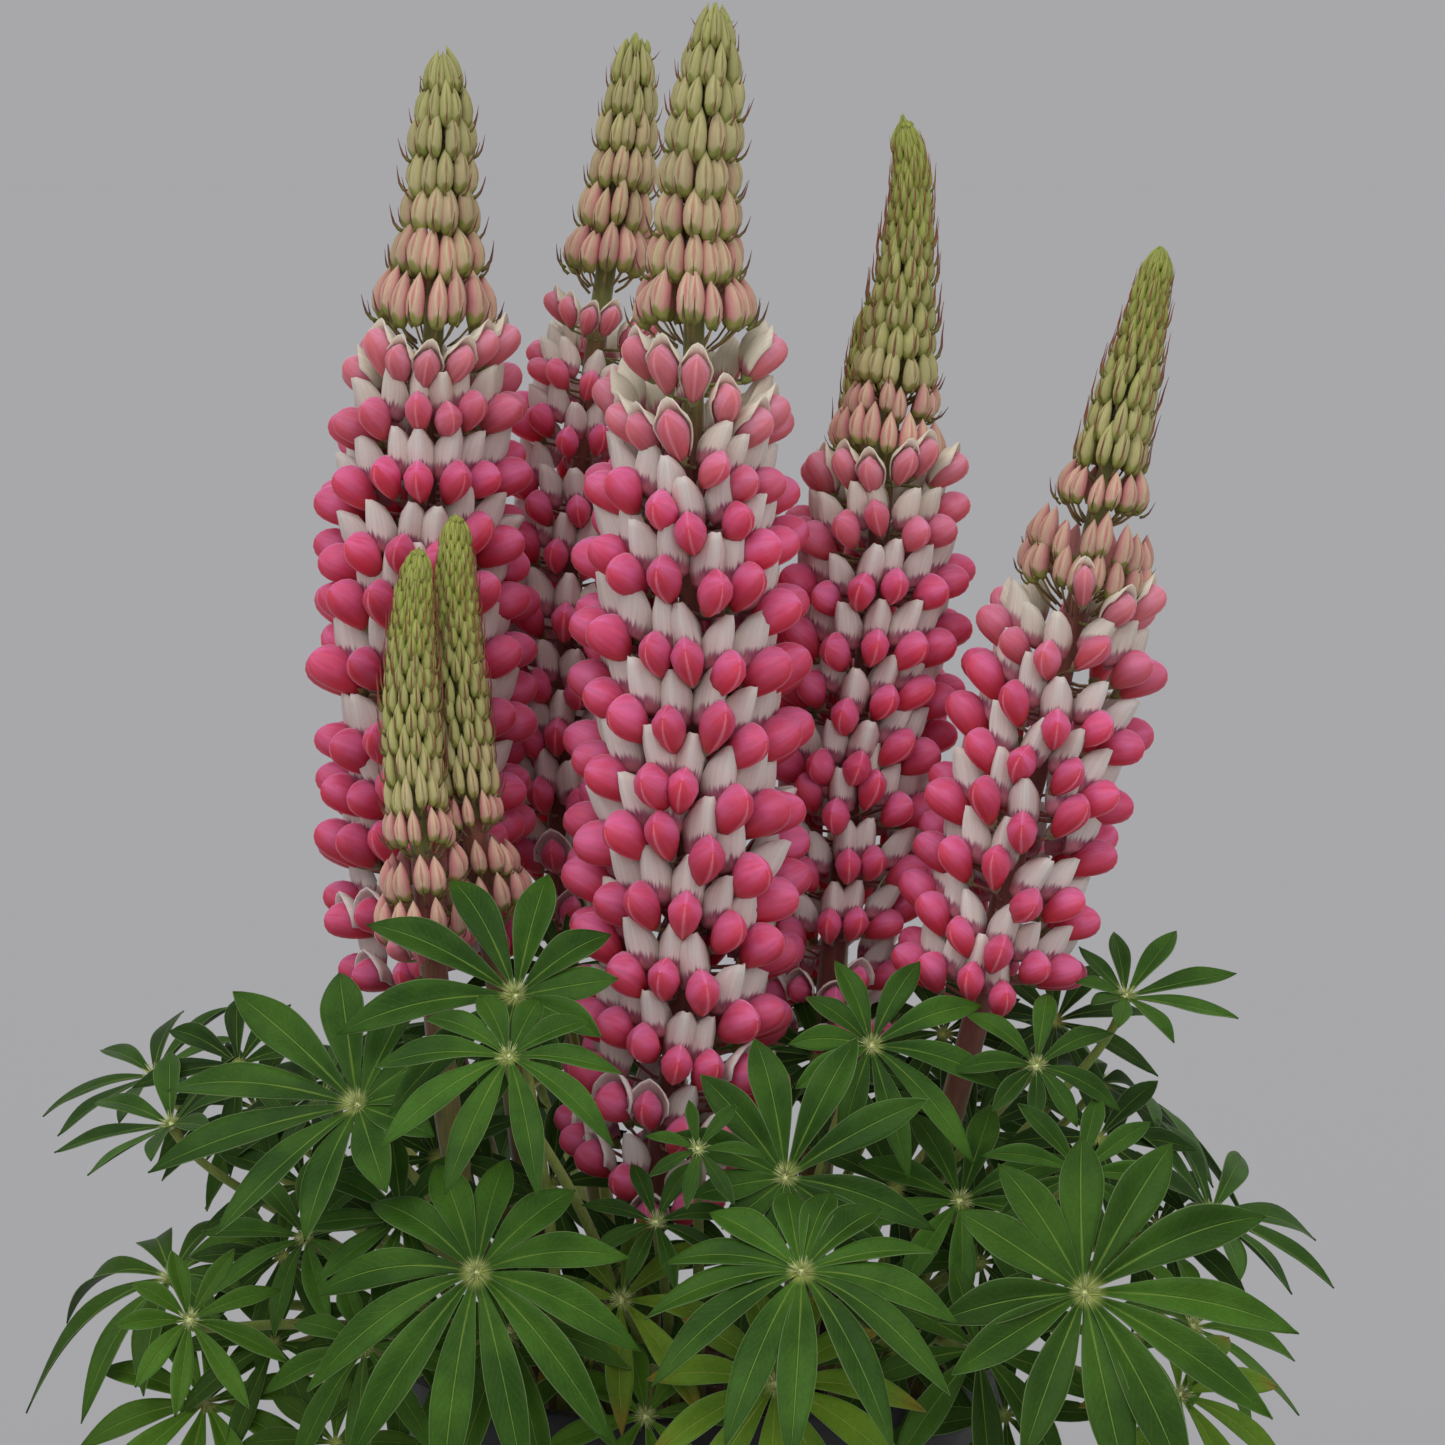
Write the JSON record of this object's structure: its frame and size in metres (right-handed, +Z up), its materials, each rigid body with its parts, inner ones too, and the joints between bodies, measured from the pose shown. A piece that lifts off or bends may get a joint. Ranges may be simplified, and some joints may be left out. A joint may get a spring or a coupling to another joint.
{
  "type": "potted lupin",
  "caption": "Garden lupin in bloom in a round black nursery pot: tall tapering spikes of pink and white pea flowers with green bud tips over a mound of palmate leaves.",
  "frame": {"origin": "centre of the pot's flat underside", "axes": "+Z up the plant, +X to the viewer's right, -Y towards the side seen in the picture"},
  "size_m": [0.3876, 0.3275, 0.5652],
  "materials": {
    "pot": "matt black moulded polypropylene",
    "soil": "damp crumbly peat compost",
    "stalk": "ribbed green-brown to maroon stem with fine down",
    "petals": "soft satin petals, pink keels under off-white banners",
    "buds": "downy pale green buds flushed with pink",
    "leaf": "satin green blades with paler ribs and silvery edges",
    "leaf_yellowing": "satin yellow-green blades with paler ribs"
  },
  "bodies": {
    "root": {"buds_back": "buds", "buds_centre": "buds", "buds_leaning": "buds", "buds_left": "buds", "buds_right": "buds", "buds_young_back": "buds", "buds_young_front": "buds", "buds_young_side": "buds", "flowers_back": "petals", "flowers_centre": "petals", "flowers_leaning": "petals", "flowers_left": "petals", "flowers_right": "petals", "flowers_young_front": "petals", "leaf_01": "leaf", "leaf_02": "leaf", "leaf_03": "leaf", "leaf_04": "leaf", "leaf_05": "leaf", "leaf_06": "leaf", "leaf_07": "leaf", "leaf_08": "leaf", "leaf_09": "leaf_yellowing", "leaf_10": "leaf", "leaf_11": "leaf_yellowing", "leaf_12": "leaf", "leaf_13": "leaf", "leaf_14": "leaf", "leaf_15": "leaf", "leaf_16": "leaf", "leaf_17": "leaf", "leaf_18": "leaf", "leaf_19": "leaf", "leaf_20": "leaf", "leaf_21": "leaf", "leaf_22": "leaf", "leaf_23": "leaf", "leaf_24": "leaf", "leaf_25": "leaf", "leaf_26": "leaf", "leaf_27": "leaf", "leaf_28": "leaf", "leaf_29": "leaf", "leaf_30": "leaf", "leaf_31": "leaf", "leaf_32": "leaf", "leaf_33": "leaf", "leaf_34": "leaf", "leaf_35": "leaf_yellowing", "leaf_36": "leaf", "pot": "pot", "soil": "soil", "stalk_back": "stalk", "stalk_centre": "stalk", "stalk_leaning": "stalk", "stalk_left": "stalk", "stalk_right": "stalk", "stalk_young_back": "stalk", "stalk_young_front": "stalk", "stalk_young_side": "stalk"}
  },
  "joints": []
}
